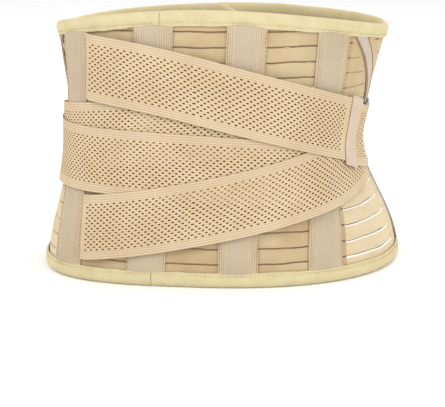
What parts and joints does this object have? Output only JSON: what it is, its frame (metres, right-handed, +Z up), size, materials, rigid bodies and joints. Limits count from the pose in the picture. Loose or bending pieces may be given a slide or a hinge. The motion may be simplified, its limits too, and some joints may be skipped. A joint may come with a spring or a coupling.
{
  "type": "back brace",
  "caption": "Elastic back brace, closed as worn: stayed and slit back section, crossing perforated straps, plush edge binding, overlapping hook-and-loop front flaps and two peel-off pull tabs.",
  "frame": {"origin": "middle of the box, on the plane of the lower rim", "axes": "+Z up the wearer's spine, -Y out of the wearer's back, +X towards the wearer's right flap's side"},
  "size_m": [0.3457, 0.3162, 0.252],
  "materials": {
    "elastic": "ribbed elastic with see-through slits",
    "plush_binding": "brushed plush",
    "stay_tape": "corded woven tape",
    "backing_cotton": "plain weave",
    "spring_steel": "satin",
    "ribbon": "fine twill ribbon",
    "joiner_tape": "fine ribbed elastic",
    "hook_tape": "moulded hooks",
    "loop_tape": "brushed loop",
    "tab_cover": "brushed nylon",
    "label": "satin, blank",
    "mesh_strap": "perforated elastic mesh"
  },
  "bodies": {
    "back": {"back_elastic": "elastic", "back_top_binding": "plush_binding", "back_bottom_binding": "plush_binding", "stay_channel_1": "stay_tape", "stay_channel_2": "stay_tape", "stay_channel_3": "stay_tape", "stay_channel_4": "stay_tape", "stay_backing_1": "backing_cotton", "stay_backing_2": "backing_cotton", "stay_backing_3": "backing_cotton", "stay_backing_4": "backing_cotton", "steel_stay_1": "spring_steel", "steel_stay_2": "spring_steel", "steel_stay_3": "spring_steel", "steel_stay_4": "spring_steel", "upper_strap": "mesh_strap", "lower_strap": "mesh_strap", "middle_strap": "mesh_strap", "inner_strap": "mesh_strap"},
    "right_wing": {"right_elastic": "elastic", "right_top_binding": "plush_binding", "right_bottom_binding": "plush_binding", "right_end_binding": "plush_binding", "right_side_ribbon": "ribbon", "right_side_stay": "spring_steel", "right_loop_panel": "loop_tape", "right_strap_end": "mesh_strap", "right_joiner": "joiner_tape"},
    "left_wing": {"left_elastic": "elastic", "left_top_binding": "plush_binding", "left_bottom_binding": "plush_binding", "left_end_binding": "plush_binding", "left_side_ribbon": "ribbon", "left_side_stay": "spring_steel", "left_hook_panel": "hook_tape", "care_label": "label", "middle_strap_end": "mesh_strap", "inner_strap_end": "mesh_strap", "left_joiner": "joiner_tape"},
    "right_tab": {"right_tab_mesh": "mesh_strap", "right_tab_cover": "tab_cover", "right_tab_hook": "hook_tape"},
    "left_tab": {"left_tab_mesh": "mesh_strap", "left_tab_cover": "tab_cover", "left_tab_hook": "hook_tape"}
  },
  "joints": [
    {"name": "right_flap_open", "type": "hinge", "parent": "back", "child": "right_wing", "pos_m": [0.1382, -0.1166, 0.125], "axis": [0, 0, -1], "range_deg": [0, 80]},
    {"name": "left_flap_open", "type": "hinge", "parent": "back", "child": "left_wing", "pos_m": [-0.157, -0.1196, 0.125], "axis": [0, 0, 1], "range_deg": [0, 36]},
    {"name": "right_tab_peel", "type": "hinge", "parent": "right_wing", "child": "right_tab", "pos_m": [0.1435, -0.0565, 0.125], "axis": [0, 0, -1], "range_deg": [0, 100]},
    {"name": "left_tab_peel", "type": "hinge", "parent": "left_wing", "child": "left_tab", "pos_m": [-0.163, 0.0184, 0.118], "axis": [0, 0, 1], "range_deg": [0, 100]}
  ],
  "couplings": [
    {"joint": "left_flap_open", "follows": "right_flap_open", "ratio": 0.45}
  ]
}
